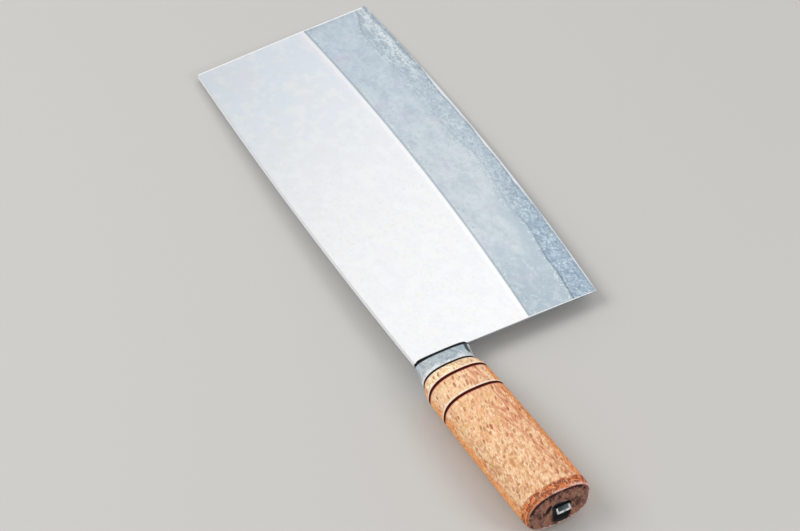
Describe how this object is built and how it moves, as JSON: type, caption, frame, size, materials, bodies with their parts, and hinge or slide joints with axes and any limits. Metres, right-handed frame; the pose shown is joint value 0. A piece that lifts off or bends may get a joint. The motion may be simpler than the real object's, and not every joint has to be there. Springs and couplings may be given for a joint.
{
  "type": "chinese cleaver",
  "caption": "Tall rectangular kitchen cleaver with a thin laminated blade, a flattened steel ferrule and an oval wooden handle with turned grooves.",
  "frame": {"origin": "on the handle's axis, in the plane of the butt", "axes": "+X from the butt to the tip, +Y towards the spine, +Z out of the blade's right side, which faces up when the cleaver lies down"},
  "size_m": [0.3314, 0.116, 0.0248],
  "materials": {
    "core_steel": "ground hard steel, blue-grey",
    "cladding": "satin flat, ground bevel",
    "tang_steel": "plain cut end",
    "ferrule_steel": "satin drawn sheet",
    "handle_wood": "pale wood with short pores, lightly waxed, burnt grooves",
    "pitch": "black setting pitch"
  },
  "bodies": {
    "root": {"core_steel": "core_steel", "right_cladding": "cladding", "left_cladding": "cladding", "tang": "tang_steel", "ferrule": "ferrule_steel", "ferrule_filler": "pitch", "handle": "handle_wood", "butt_filler": "pitch"}
  },
  "joints": []
}
